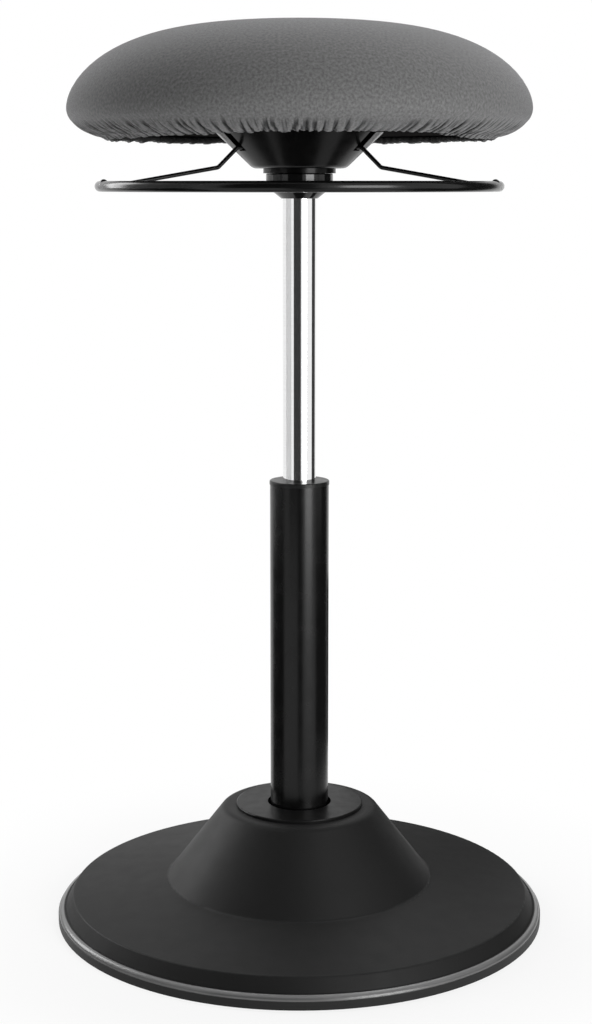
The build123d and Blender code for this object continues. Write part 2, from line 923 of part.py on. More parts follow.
for name, (angle, drop) in slot_drops().items():
    pieces[name] = arm(angle)

os.makedirs("parts", exist_ok=True)
for name, piece in pieces.items():
    export_step(piece, f"parts/{name}.step")
print(f"{len(pieces)} pieces, {crown_top:.1f} mm high, base {2 * base_radius:.1f} mm across")
print(f"tilt pivot at {pivot:.2f} mm, ring fulcrum at radius {dish_radius - dish_wall / 2:.3f} mm")
print(f"fulcrum level {board_bottom - lift_gap:.2f} mm, button travel {button_travel} mm")
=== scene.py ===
# %% [markdown]
# # A leaning office stool, dressed for a studio picture
#
# The stool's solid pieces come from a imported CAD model, already in their places and already
# grouped into the bodies that move. This lesson gives each piece its finish, makes the one soft
# piece (the gathered cloth seat) and sets up a plain studio. Everything is in metres, the floor
# is z = 0, and the front of the stool looks along -Y.

# %% Load the stool
import json
import math

import bpy
import numpy as np
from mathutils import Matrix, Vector


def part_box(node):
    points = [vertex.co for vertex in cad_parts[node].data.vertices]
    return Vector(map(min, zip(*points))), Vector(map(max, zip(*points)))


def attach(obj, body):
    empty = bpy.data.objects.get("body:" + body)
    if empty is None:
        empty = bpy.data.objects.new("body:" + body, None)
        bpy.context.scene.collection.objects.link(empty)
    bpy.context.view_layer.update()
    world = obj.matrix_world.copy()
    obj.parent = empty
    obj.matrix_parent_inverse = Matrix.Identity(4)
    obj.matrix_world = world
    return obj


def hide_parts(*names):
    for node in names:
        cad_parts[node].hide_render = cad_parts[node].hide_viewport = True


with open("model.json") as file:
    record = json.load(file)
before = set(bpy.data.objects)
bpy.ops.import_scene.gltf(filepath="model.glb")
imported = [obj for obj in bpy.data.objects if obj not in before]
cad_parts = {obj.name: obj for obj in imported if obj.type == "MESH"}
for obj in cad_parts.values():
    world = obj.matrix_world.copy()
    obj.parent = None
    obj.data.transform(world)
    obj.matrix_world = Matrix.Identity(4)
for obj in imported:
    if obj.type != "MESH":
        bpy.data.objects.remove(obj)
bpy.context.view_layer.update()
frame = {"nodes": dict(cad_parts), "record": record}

stool = frame["nodes"]

# %% [markdown]
# ## The camera
#
# The stool was photographed from a little above its middle, with the camera tipped down by
# almost ten degrees, so its round parts show as flat ellipses: nearly a line at the ring under
# the seat, and much rounder at the base. The lens follows from how fast those ellipses open
# from top to bottom. We could also shift the lens, as architects do, but then the column would
# not narrow towards the floor as it does in the photograph.

# %% Camera
picture_height = 1024
lens_in_pixels = 1906.0
camera_pitch = 9.765
camera_data = bpy.data.cameras.new("studio_camera")
camera_data.sensor_width = 36.0
camera_data.lens = lens_in_pixels / picture_height * camera_data.sensor_width
camera_data.clip_end = 50.0
camera = bpy.data.objects.new("studio_camera", camera_data)
bpy.context.scene.collection.objects.link(camera)
camera.location = (-0.0029, -1.5985, 0.6304)
camera.rotation_euler = (math.radians(90 - camera_pitch), 0, 0)
bpy.context.scene.camera = camera
print("lens:", round(camera_data.lens, 1), "mm")

# %% [markdown]
# ## The studio: floor and surroundings
#
# The stool stands on a pale floor that runs out into white. A real studio does this with a long
# paper sweep. Here the floor is a wide disc. Near the stool it is an ordinary matt surface, so it
# takes the stool's soft shadow, and further out it gives way to plain white, so that its edge
# never shows against the white surroundings.


# %% Floor disc
def disc_mesh(name, radius, corners):
    """A flat round sheet at floor level."""
    turns = [2 * math.pi * corner / corners for corner in range(corners)]
    rim = [(radius * math.cos(turn), radius * math.sin(turn), 0) for turn in turns]
    mesh = bpy.data.meshes.new(name)
    mesh.from_pydata(rim, [], [list(range(corners))])
    return mesh


floor_radius = 6.0
floor = bpy.data.objects.new("studio_floor", disc_mesh("studio_floor", floor_radius, 64))
bpy.context.scene.collection.objects.link(floor)
print("floor:", len(floor.data.polygons), "face,", 2 * floor_radius, "m across")


# %% [markdown]
# A finish in Blender is a tree of nodes that are wired together. Three helpers keep the wiring
# short: one wires two sockets, one adds a node with its options, and one tells whether a ray
# comes from the camera or from a mirror. Only such rays see the plain white of the studio.

# %% Helpers for nodes
def link(tree, source, target):
    """Wire two sockets of a node tree together."""
    tree.links.new(source, target)


def add_node(tree, kind, **settings):
    """Add a shader node and set its own options."""
    node = tree.nodes.new(kind)
    for setting, value in settings.items():
        setattr(node, setting, value)
    return node


def seen_directly(tree):
    """1 for rays that come from the camera or bounce off metal or glass, otherwise 0."""
    path = add_node(tree, "ShaderNodeLightPath")
    metal = add_node(tree, "ShaderNodeMath", operation="MAXIMUM")
    both = add_node(tree, "ShaderNodeMath", operation="MAXIMUM")
    link(tree, path.outputs["Is Camera Ray"], metal.inputs[0])
    link(tree, path.outputs["Is Glossy Ray"], metal.inputs[1])
    link(tree, metal.outputs[0], both.inputs[0])
    link(tree, path.outputs["Is Transmission Ray"], both.inputs[1])
    return both.outputs[0]


print("helpers for nodes ready")

# %% [markdown]
# The paper of the floor is matt under the stool. From the edge of the base outwards it fades into
# plain white within a hand's breadth.

# %% Paper of the floor
paper = bpy.data.materials.new("pale_paper")
paper.use_nodes = True
tree = paper.node_tree
matt = tree.nodes["Principled BSDF"]
matt.inputs["Base Color"].default_value = (0.88, 0.88, 0.88, 1)
matt.inputs["Roughness"].default_value = 0.9
matt.inputs["Specular IOR Level"].default_value = 0.0
white = add_node(tree, "ShaderNodeEmission")
white.inputs["Strength"].default_value = 1.0
place = add_node(tree, "ShaderNodeTexCoord")
reach = add_node(tree, "ShaderNodeVectorMath", operation="LENGTH")
fade = add_node(tree, "ShaderNodeMapRange", interpolation_type="SMOOTHSTEP")
fade.inputs["From Min"].default_value = 0.21
fade.inputs["From Max"].default_value = 0.42
fade.inputs["To Min"].default_value = 0.8
gate = add_node(tree, "ShaderNodeMath", operation="MULTIPLY")
sweep = add_node(tree, "ShaderNodeMixShader")
link(tree, place.outputs["Object"], reach.inputs[0])
link(tree, reach.outputs["Value"], fade.inputs["Value"])
link(tree, fade.outputs["Result"], gate.inputs[0])
link(tree, seen_directly(tree), gate.inputs[1])
link(tree, gate.outputs[0], sweep.inputs["Fac"])
link(tree, matt.outputs["BSDF"], sweep.inputs[1])
link(tree, white.outputs["Emission"], sweep.inputs[2])
link(tree, sweep.outputs["Shader"], tree.nodes["Material Output"].inputs["Surface"])
floor.data.materials.append(paper)
print("paper fades out", fade.inputs["From Max"].default_value, "m from the middle")

# %% [markdown]
# The surroundings are white to the eye and in the chrome, but they light the stool only gently.
# If they lit it at full strength, every side would be equally bright and the forms would go flat.

# %% Surroundings
room = bpy.data.worlds.new("white_room")
bpy.context.scene.world = room
room.use_nodes = True
tree = room.node_tree
shown = tree.nodes["Background"]
shown.inputs["Color"].default_value = (1, 1, 1, 1)
shown.inputs["Strength"].default_value = 1.0
fill = add_node(tree, "ShaderNodeBackground")
fill.inputs["Color"].default_value = (1, 1, 1, 1)
fill.inputs["Strength"].default_value = 0.16
chooser = add_node(tree, "ShaderNodeMixShader")
link(tree, seen_directly(tree), chooser.inputs["Fac"])
link(tree, fill.outputs["Background"], chooser.inputs[1])
link(tree, shown.outputs["Background"], chooser.inputs[2])
link(tree, chooser.outputs["Shader"], tree.nodes["World Output"].inputs["Surface"])
print("room light:", fill.inputs["Strength"].default_value)

# %% [markdown]
# ## Lamps and flags
#
# Three soft boxes light the stool: a tall strip at the right of the camera, which draws the long
# highlight down the black column, a broad box at the left that catches the side of the cone, and
# one overhead for the seat. One big dome of light could do it too, but then the black column
# would show no long highlight.


# %% Soft boxes
def aim(lamp, target):
    """Turn a lamp so that it shines at a point."""
    lamp.rotation_euler = (Vector(target) - lamp.location).to_track_quat("-Z", "Y").to_euler()


def soft_box(name, place, target, width, height, watts):
    """A rectangular lamp that shines at a point."""
    light = bpy.data.lights.new(name, "AREA")
    light.shape = "RECTANGLE"
    light.size = width
    light.size_y = height
    light.energy = watts
    lamp = bpy.data.objects.new(name, light)
    bpy.context.scene.collection.objects.link(lamp)
    lamp.location = place
    aim(lamp, target)
    return lamp


def around_stool(angle, distance):
    """A place round the stool, at an angle to the right of the camera's direction."""
    turn = math.radians(angle)
    return distance * math.sin(turn), -distance * math.cos(turn)


lamp_distance = 1.7
soft_box("strip_right", (*around_stool(36, lamp_distance), 0.62), (0, 0, 0.62),
         width=0.85, height=1.2, watts=27.0)
soft_box("box_left", (*around_stool(-118, lamp_distance), 0.9), (0, 0, 0.4),
         width=0.9, height=1.5, watts=24.0)
soft_box("box_overhead", (0.2, 0.7, 2.1), (0, 0, 0.5), width=1.4, height=1.4, watts=22.0)


# %% [markdown]
# Polished metal shows whatever stands round it, so photographers put dark boards, called flags,
# beside white boxes to give chrome its crisp dark lines. Ours are curved boards that only
# reflections can see, so they cast no shade. Some lean low round the base like mats and darken
# what the tube, the cone and the hub mirror. A small card that glows by itself, as a dim lamp
# seen only in reflections, hides the left box from the chrome.

# %% Flags
def felt(name, tone):
    """A dull board covering."""
    finish = bpy.data.materials.new(name)
    finish.use_nodes = True
    shader = finish.node_tree.nodes["Principled BSDF"]
    shader.inputs["Base Color"].default_value = (tone, tone, tone, 1)
    shader.inputs["Roughness"].default_value = 1.0
    shader.inputs["Specular IOR Level"].default_value = 0.0
    return finish


def flag(name, first, last, lower, upper, cover):
    """A board from one angle to another round the stool, with its edges' (distance, height)."""
    steps = 16
    points = []
    for step in range(steps + 1):
        for distance, height in (lower, upper):
            points.append((*around_stool(first + (last - first) * step / steps, distance), height))
    panels = [(2 * step, 2 * step + 2, 2 * step + 3, 2 * step + 1) for step in range(steps)]
    mesh = bpy.data.meshes.new(name)
    mesh.from_pydata(points, [], panels)
    board = bpy.data.objects.new(name, mesh)
    bpy.context.scene.collection.objects.link(board)
    board.visible_camera = False
    board.visible_diffuse = False
    board.visible_shadow = False
    mesh.materials.append(cover)
    return board


print("boards can be covered with felt")

# %% Where the flags stand
black_felt = felt("black_felt", 0.05)
grey_felt = felt("grey_felt", 0.7)
# Painted light: the card is black but glows by itself, in place of a white card lit by the lamps.
glowing_card = felt("glowing_card", 0.0)
glow = glowing_card.node_tree.nodes["Principled BSDF"].inputs
glow["Emission Color"].default_value = (1, 1, 1, 1)
glow["Emission Strength"].default_value = 0.95
flag_foot, flag_top = (0.95, 0.2), (0.95, 2.0)
mat_edge = (0.42, 0.004)
flag("flag_front", -40, 10, flag_foot, flag_top, black_felt)
flag("flag_right", 94, 133, flag_foot, flag_top, black_felt)
flag("flag_left", -106, -58, flag_foot, flag_top, grey_felt)
flag("flag_left_back", -140, -104, (0.32, 0.346), (0.32, 0.655), glowing_card)
flag("flag_mat_front", -6, 13, mat_edge, flag_foot, black_felt)
flag("flag_mat_right", 66, 135, mat_edge, flag_foot, black_felt)
flag("flag_mat_left", -125, -62, (0.3, 0.004), flag_foot, black_felt)
flag("flag_back_right", 138, 172, (0.4, 0.03), (0.4, 0.22), black_felt)

# %% [markdown]
# ## Tools for finishes
#
# No real surface is one flat colour. Each finish below mixes two close tones with a noise
# pattern, lets a second pattern vary the gloss, and raises a fine grain with a bump. The
# patterns are fixed to the pieces, so they stay put when the stool moves.


# %% Patterns
def grain(tree, size, detail=2.0, stretch=(1.0, 1.0, 1.0)):
    """A noise pattern with blotches of about this size in metres, fixed to the piece."""
    place = add_node(tree, "ShaderNodeTexCoord")
    scale = add_node(tree, "ShaderNodeMapping")
    scale.inputs["Scale"].default_value = stretch
    noise = add_node(tree, "ShaderNodeTexNoise")
    noise.inputs["Scale"].default_value = 1 / size
    noise.inputs["Detail"].default_value = detail
    link(tree, place.outputs["Object"], scale.inputs["Vector"])
    link(tree, scale.outputs["Vector"], noise.inputs["Vector"])
    return noise.outputs["Fac"]


def spread(tree, pattern, low, high):
    """Stretch the middle of a pattern over a range of values."""
    remap = add_node(tree, "ShaderNodeMapRange")
    remap.inputs["From Min"].default_value = 0.3
    remap.inputs["From Max"].default_value = 0.7
    remap.inputs["To Min"].default_value = low
    remap.inputs["To Max"].default_value = high
    link(tree, pattern, remap.inputs["Value"])
    return remap.outputs["Result"]


def two_tones(tree, pattern, dark, light):
    """A colour that wanders between two tones along a pattern."""
    tones = add_node(tree, "ShaderNodeValToRGB")
    tones.color_ramp.elements[0].position = 0.3
    tones.color_ramp.elements[0].color = (*dark, 1)
    tones.color_ramp.elements[1].position = 0.7
    tones.color_ramp.elements[1].color = (*light, 1)
    link(tree, pattern, tones.inputs["Fac"])
    return tones.outputs["Color"]


def raised(tree, pattern, height, strength):
    """A bump that lifts the surface along a pattern."""
    bump = add_node(tree, "ShaderNodeBump")
    bump.inputs["Strength"].default_value = strength
    bump.inputs["Distance"].default_value = height
    link(tree, pattern, bump.inputs["Height"])
    return bump.outputs["Normal"]


print("patterns ready")


# %% [markdown]
# Every finish goes into one list under the name that the stool's record has for it. Most of the
# hard pieces are moulded, painted or cast, and one recipe makes them all: two close tones in
# patches, a range of roughness and the size and height of the grain, in metres.

# %% Recipe for finishes
finishes = {}


def new_finish(name, specular=0.5, metallic=0.0):
    """A new finish in the list, as its node tree and its shader."""
    finish = bpy.data.materials.new(name)
    finish.use_nodes = True
    shader = finish.node_tree.nodes["Principled BSDF"]
    shader.inputs["Specular IOR Level"].default_value = specular
    shader.inputs["Metallic"].default_value = metallic
    finishes[name] = finish
    return finish.node_tree, shader


def grey(level, warmth=0.0):
    """A grey in linear light, a little warm or cool."""
    return level * (1 + warmth), level, level * (1 - warmth)


def coated(name, tones, gloss, patch, grain_size, grain_height, specular=0.5, metallic=0.0):
    """A finish in two close tones, with its gloss spread over a range and a fine raised grain."""
    tree, shader = new_finish(name, specular, metallic)
    dark, light = tones
    blotches = grain(tree, patch, 4.0)
    link(tree, two_tones(tree, blotches, grey(dark), grey(light)), shader.inputs["Base Color"])
    link(tree, spread(tree, grain(tree, patch / 3), *gloss), shader.inputs["Roughness"])
    link(tree, raised(tree, grain(tree, grain_size), grain_height, 0.6), shader.inputs["Normal"])


print("recipe ready")

# %% [markdown]
# ## Base: cover, cap and edge
#
# The cover is moulded in black plastic with a fine spark-eroded grain, which keeps it matt and
# hides scratches. The round cap on the cone is smoother, so it looks a little lighter under the
# overhead box.

# %% Base plastics
coated("cover_plastic", tones=(0.007, 0.008), gloss=(0.51, 0.55), patch=0.05,
       grain_size=0.0006, grain_height=0.00006, specular=0.135)
coated("cap_plastic", tones=(0.005, 0.007), gloss=(0.3, 0.38), patch=0.03,
       grain_size=0.0008, grain_height=0.00003, specular=0.1)
coated("guide_plastic", tones=(0.006, 0.009), gloss=(0.28, 0.36), patch=0.02,
       grain_size=0.0008, grain_height=0.00002, specular=0.2)
print("base plastics:", sorted(finishes))

# %% [markdown]
# The edge ring is dark grey rubber. Its rounded shoulder is smoother and shinier than the upright
# wall below the fine line, which stays dull. The shoulder is painted a lighter grey, partly the
# rubber's own tone and partly painted highlight, and it is lightest along its two edges, which are
# painted highlights. One finish does both: the height of a point on the ring decides how light it
# is. The lip in the joint beside the cover is painted black, as painted shade in the groove.

# %% Tones and painted highlights of the edge ring
edge_low, edge_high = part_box("edge_ring")
fine_line = 0.0066
tree, shader = new_finish("edge_rubber")
place = add_node(tree, "ShaderNodeTexCoord")
parts = add_node(tree, "ShaderNodeSeparateXYZ")
height = add_node(tree, "ShaderNodeMapRange")
height.inputs["From Min"].default_value = edge_low.z + fine_line
height.inputs["From Max"].default_value = edge_high.z
link(tree, place.outputs["Object"], parts.inputs["Vector"])
link(tree, parts.outputs["Z"], height.inputs["Value"])
# Painted highlight: the shoulder is toned lighter than the wall, most of all along its two edges.
tone_ramp_with_painted_highlights = add_node(tree, "ShaderNodeValToRGB")
tone_ramp_with_painted_highlights.color_ramp.elements[0].color = (*grey(0.015), 1)
tone_ramp_with_painted_highlights.color_ramp.elements[1].color = (*grey(0.17), 1)
for position, lightness in ((0.06, 0.015), (0.14, 0.15), (0.5, 0.08), (0.8, 0.15)):
    stop = tone_ramp_with_painted_highlights.color_ramp.elements.new(position)
    stop.color = (*grey(lightness), 1)
link(tree, height.outputs["Result"], tone_ramp_with_painted_highlights.inputs["Fac"])
painted_highlight_tones = add_node(tree, "ShaderNodeMix", data_type="RGBA", blend_type="MULTIPLY")
painted_highlight_tones.inputs["Factor"].default_value = 1.0
link(tree, tone_ramp_with_painted_highlights.outputs["Color"], painted_highlight_tones.inputs["A"])
link(tree, two_tones(tree, grain(tree, 0.02, 4.0), grey(0.85), grey(1.0)), painted_highlight_tones.inputs["B"])
print("edge ring from", round(edge_low.z, 4), "to", round(edge_high.z, 4), "m")

# %% [markdown]
# How far a point lies from the middle tells the lip in the joint, painted black as painted shade in
# the groove, from the shoulder. The same two measures, height and distance, also set where the
# ring shines.

# %% Joint, painted groove shade and shine of the edge ring
lip_starts, lip_ends = edge_high.x - 0.0050, edge_high.x - 0.0043
on_plan = add_node(tree, "ShaderNodeVectorMath", operation="MULTIPLY")
on_plan.inputs[1].default_value = (1, 1, 0)
reach = add_node(tree, "ShaderNodeVectorMath", operation="LENGTH")
joint = add_node(tree, "ShaderNodeMapRange")
joint.inputs["From Min"].default_value = lip_starts
joint.inputs["From Max"].default_value = lip_ends
link(tree, place.outputs["Object"], on_plan.inputs[0])
link(tree, on_plan.outputs["Vector"], reach.inputs[0])
link(tree, reach.outputs["Value"], joint.inputs["Value"])
# Painted shade: inside the joint the ring is toned almost black, as the shade in the groove.
tone = add_node(tree, "ShaderNodeMix", data_type="RGBA")
tone.inputs["A"].default_value = (*grey(0.002), 1)
link(tree, joint.outputs["Result"], tone.inputs["Factor"])
link(tree, painted_highlight_tones.outputs["Result"], tone.inputs["B"])
link(tree, tone.outputs["Result"], shader.inputs["Base Color"])
wiped = add_node(tree, "ShaderNodeMath", operation="MULTIPLY")
link(tree, height.outputs["Result"], wiped.inputs[0])
link(tree, joint.outputs["Result"], wiped.inputs[1])
for socket, dull, shiny in (("Roughness", 0.5, 0.28), ("Specular IOR Level", 0.18, 0.5)):
    shine = add_node(tree, "ShaderNodeMapRange")
    shine.inputs["From Min"].default_value = 0.05
    shine.inputs["From Max"].default_value = 0.15
    shine.inputs["To Min"].default_value = dull
    shine.inputs["To Max"].default_value = shiny
    link(tree, wiped.outputs[0], shine.inputs["Value"])
    link(tree, shine.outputs["Result"], shader.inputs[socket])
link(tree, raised(tree, grain(tree, 0.0009), 0.00004, 0.5), shader.inputs["Normal"])
print("worn from the fine line up to the joint")

# %% [markdown]
# ## Painted metal
#
# The column is powder-coated in satin black. The hub is smoother, and the collar and the release
# ring are gloss black. Powder paint dries with a faint orange peel, which shows only as a slight
# waver in the highlights.

# %% Black paints
coated("tube_paint", tones=(0.002, 0.003), gloss=(0.22, 0.28), patch=0.04,
       grain_size=0.0018, grain_height=0.00002, specular=0.25)
coated("hub_paint", tones=(0.0015, 0.0025), gloss=(0.18, 0.24), patch=0.03,
       grain_size=0.0015, grain_height=0.00002, specular=0.12)
coated("collar_gloss", tones=(0.002, 0.003), gloss=(0.07, 0.11), patch=0.03,
       grain_size=0.002, grain_height=0.00001, specular=0.4)
coated("ring_paint", tones=(0.002, 0.003), gloss=(0.17, 0.23), patch=0.03,
       grain_size=0.002, grain_height=0.00001, specular=0.3)
print("paints ready")

# %% [markdown]
# ## Bare metal
#
# The sliding tube is hard chrome, ground and polished round its axis, so its faint lines run
# round the tube. Noise that is squeezed along Z gives such lines. The screws are zinc plated, the
# socket is machined aluminium, and the heavy plate and the bearing cup are iron castings with a
# rough black coat. The rubber between the metal pieces, hidden inside, is dull black.

# %% Chrome, steel and inner rubber
tree, shader = new_finish("chrome", specular=0.5, metallic=1.0)
lines = grain(tree, 0.02, 3.0, stretch=(1.0, 1.0, 60.0))
link(tree, two_tones(tree, lines, grey(0.82), grey(0.88, -0.004)), shader.inputs["Base Color"])
link(tree, spread(tree, lines, 0.035, 0.07), shader.inputs["Roughness"])
coated("steel", tones=(0.45, 0.56), gloss=(0.26, 0.4), patch=0.008,
       grain_size=0.0007, grain_height=0.00002, metallic=1.0)
coated("socket_metal", tones=(0.5, 0.6), gloss=(0.28, 0.38), patch=0.01,
       grain_size=0.0008, grain_height=0.00002, metallic=1.0)
coated("iron", tones=(0.012, 0.022), gloss=(0.55, 0.75), patch=0.015,
       grain_size=0.0016, grain_height=0.00025, specular=0.4)
coated("black_rubber", tones=(0.007, 0.011), gloss=(0.6, 0.72), patch=0.02,
       grain_size=0.001, grain_height=0.00008, specular=0.2)
print("metals and inner rubber ready")

# %% [markdown]
# ## The board under the seat
#
# The seat is built on a round plywood board, seen only from below. It is stained dead black, with
# no gloss at all: even a little would turn pale at the flat angle from which the board is seen.
# The face veneer has long grain, made from noise that is stretched along one direction.

# %% Plywood
tree, shader = new_finish("board", specular=0.0)
veneer = grain(tree, 0.006, 6.0, stretch=(0.06, 1.0, 1.0))
stain = two_tones(tree, veneer, (0.008, 0.008, 0.008), (0.018, 0.017, 0.017))
link(tree, stain, shader.inputs["Base Color"])
link(tree, spread(tree, veneer, 0.5, 0.65), shader.inputs["Roughness"])
link(tree, raised(tree, veneer, 0.0001, 0.5), shader.inputs["Normal"])
print("board ready")

# %% [markdown]
# ## Give each piece its finish
#
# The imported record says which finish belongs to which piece, so one loop does it. The cloth, the
# foam and the elastic are left out here, because the soft seat below takes their place.

# %% Apply the finishes
soft_pieces = ["seat_cover", "seat_foam", "hem_elastic"]
finish_of = {}
for part in frame["record"]["subparts"]:
    if part["node"] not in soft_pieces:
        finish_of[part["node"]] = part["material_slot"]
for piece, slot in finish_of.items():
    stool[piece].data.materials.clear()
    stool[piece].data.materials.append(finishes[slot])
print("finished pieces:", len(finish_of))

# %% [markdown]
# ## The seat
#
# The seat is a foam dome in a stretch-cloth cover. The cover is drawn in under the board by an
# elastic in its hem, so the top is smooth and tight and the cloth bunches into pleats only where
# it turns under. A cover like this could be draped by simulation over the whole dome, but the
# smooth crown needs none of that. We turn its outline round the axis in fine rings, and then
# work the gathers into the lower rings.

# %% Outline of the seat
cover_low, cover_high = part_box("seat_cover")
seat_radius = cover_high.x
crown_top = cover_high.z
hem_raised = 0.0015
hem_bottom = cover_low.z + hem_raised
waist_level = 0.691
hem_radius = 0.159
tuck_bottom = 0.6695
crown_flat = 3.1
crown_round = 1.76


def crown_outline(count):
    """Points from the middle of the crown down to the widest part of the seat."""
    turn = np.linspace(0, math.pi / 2, count)
    across = seat_radius * np.sin(turn) ** (2 / crown_flat)
    up = waist_level + (crown_top - waist_level) * np.cos(turn).clip(0) ** (2 / crown_round)
    return np.column_stack([across, up])


def tuck_outline(count):
    """Points from the widest part down and in towards the hem."""
    turn = np.radians(np.linspace(0, 76, count)[1:])
    across = hem_radius + (seat_radius - hem_radius) * np.cos(turn)
    down = waist_level - (waist_level - tuck_bottom) * np.sin(turn)
    return np.column_stack([across, down])


hem_drop = hem_bottom - tuck_bottom
hem_roll = np.array([(0.0034, 0.0), (0.0016, -0.0011), (0.0005, -0.0028), (0, hem_drop)])
hem_outline = hem_roll + (hem_radius, tuck_bottom)
outline = np.vstack([crown_outline(600), tuck_outline(200), hem_outline])
steps = np.linalg.norm(np.diff(outline, axis=0), axis=1)
along = np.concatenate([[0], np.cumsum(steps)])
print("cloth from the middle to the hem:", round(along[-1], 4), "m")

# %% [markdown]
# The rings lie far apart on the smooth crown and close together where the cloth gathers. Each
# ring keeps its distance along the cloth, because the weave is drawn on the cloth as it was cut,
# before it was stretched over the foam.

# %% Rings of the cover
gather_width = 0.060
gather_start = along[-1] - gather_width
crown_rings = np.linspace(0.004, gather_start, 26, endpoint=False)
gather_rings = np.linspace(gather_start, along[-1], 54)
first_gather = len(crown_rings)
ring_along = np.concatenate([crown_rings, gather_rings])
ring_radius = np.interp(ring_along, along, outline[:, 0])
ring_level = np.interp(ring_along, along, outline[:, 1])
slope = np.array([np.gradient(ring_radius, ring_along), np.gradient(ring_level, ring_along)])
slope_radius, slope_level = slope / np.linalg.norm(slope, axis=0)
above_hem = along[-1] - ring_along
pleat_steps = 1300
turn = np.linspace(0, 2 * math.pi, pleat_steps, endpoint=False)
print("rings:", len(ring_along), "- points in each:", pleat_steps)


# %% [markdown]
# A point of the cover is kept as a radius and a level. It moves out from the foam along its ring's
# normal, and slides along the cloth's own line towards the hem.

# %% Points on the rings
def ring_points(ring, out):
    """A ring of points, moved out from the smooth outline by a distance for each."""
    radius = ring_radius[ring] - slope_level[ring] * out
    level = ring_level[ring] + slope_radius[ring] * out
    return np.column_stack([radius * np.cos(turn), radius * np.sin(turn), level])


smooth = np.array([ring_points(ring, 0 * turn) for ring in range(len(ring_along))])
print("smooth cover:", smooth.shape[0] * smooth.shape[1], "points")

# %% [markdown]
# An elastic never bunches cloth evenly, so the folds start from shallow creases at uneven
# distances, each with its own length and slant. Short creases run out soon, and there two folds
# become one further up.

# %% Where the folds start
shuffle = np.random.default_rng(11)
fold_reach = 0.029
elastic_width = 0.004
crease_width = 0.0014
crease_depth = 0.0024
crease_turn = [0.0]
while crease_turn[-1] < 2 * math.pi - 0.03:
    crease_turn.append(crease_turn[-1] + shuffle.uniform(0.0048, 0.0092) / hem_radius)
crease_turn = np.array(crease_turn)
creases = len(crease_turn)
long_crease = shuffle.random(creases) < 0.55
crease_length = fold_reach * np.where(long_crease, shuffle.uniform(0.8, 1.15, creases),
                                      shuffle.uniform(0.4, 0.7, creases))
crease_slant = shuffle.normal(0, 0.15, creases)


def first_creases(ring):
    """How far the points of a ring start out from the smooth outline."""
    middle = crease_turn + crease_slant * above_hem[ring] / ring_radius[ring]
    away = (turn[:, None] - middle[None, :] + math.pi) % (2 * math.pi) - math.pi
    strength = np.clip(1 - (above_hem[ring] - elastic_width) / crease_length, 0, 1)
    dip = np.exp(-np.abs(away * ring_radius[ring] / crease_width) ** 1.5) * strength
    dip = dip.sum(axis=1)
    return crease_depth * (dip.mean() - dip)


band_rings = range(first_gather, len(ring_along))
band = np.array([ring_points(ring, first_creases(ring)) for ring in band_rings])
print("creases:", creases)

# %% [markdown]
# The cover was cut from flat cloth, so towards the hem there is more cloth than room for it. That
# spare length is what makes gathers. It is none at the waist and about two thirds as much again at
# the elastic, and it differs along the hem, with one calm stretch to the right of the front
# and the thickest bunch just beyond it.

# %% Spare cloth
front = math.radians(270)
calm = math.radians(21)
thickest = math.radians(43)
from_front = (turn - front + math.pi) % (2 * math.pi) - math.pi
bunching = 1 + 0.25 * np.sin(3 * turn + 1.2) * np.sin(5 * turn + 0.4)
bunching *= 1 - 0.85 * np.exp(-((from_front - calm) / math.radians(9.5)) ** 2)
bunching *= 1 + 0.5 * np.exp(-((from_front - thickest) / math.radians(11)) ** 2)
band_above = above_hem[first_gather:]
nearness = np.clip(1 - (band_above - elastic_width) / fold_reach, 0, 1)
spare_at_hem = 0.65
spare = spare_at_hem * nearness[:, None] * bunching[None, :]
print("spare cloth at the hem: up to", round(100 * spare.max()), "percent")


# %% [markdown]
# Now the cloth finds its own shape. Blender's cloth modifier would do, but at this fineness it
# needs minutes. The rings are a regular net, so a small solver of our own does it in seconds: each
# thread of the net is a rod that pushes or pulls its two ends to its cut length, many times over.
# The ends of every second rod are free of each other, so all of them are done at once.

# %% Threads of the net
def fit_rods(near, far, length, near_free, far_free, stiffness):
    """Move both ends of many rods towards the rods' lengths."""
    rod = far - near
    now = np.linalg.norm(rod, axis=-1, keepdims=True)
    change = rod * stiffness * (now - length[..., None]) / now / np.maximum(near_free + far_free, 1)
    near += near_free * change
    far -= far_free * change


def fit_round(net, length, free):
    """The threads that run round the seat."""
    fit_rods(net[:, 0::2], net[:, 1::2], length[:, 0::2], free, free, 1.0)
    after = np.roll(net[:, 0::2], -1, axis=1)
    fit_rods(net[:, 1::2], after, length[:, 1::2], free, free, 1.0)
    net[:, 0::2] = np.roll(after, 1, axis=1)


def fit_down(net, length, free, skew, stiffness):
    """The threads that run down to the hem, straight or skewed to the next point round."""
    for start in (0, 1):
        end = start + 2 * ((len(net) - start) // 2)
        upper, lower = slice(start, end, 2), slice(start + 1, end, 2)
        below = np.roll(net[lower], -skew, axis=1)
        fit_rods(net[upper], below, length[upper], free[upper], free[lower], stiffness)
        net[lower] = np.roll(below, skew, axis=1)


free = np.ones((len(band), 1, 1))
free[:3] = 0
print("held rings at the waist:", int((free == 0).sum()))


# %% [markdown]
# Cloth also resists sharp bends, and it can't sink far into the foam or slide along it. The board
# is stiffer still: below it, the cloth stays below.

# %% Limits of the net
def soften(net, amount):
    """Draw each point towards its neighbours, as stiff cloth does."""
    beside = (np.roll(net, 1, axis=1) + np.roll(net, -1, axis=1)) / 2
    net += free * amount * (beside - net)
    over = net.copy()
    over[1:-1] = (net[:-2] + net[2:]) / 2
    net += free * amount * (over - net)


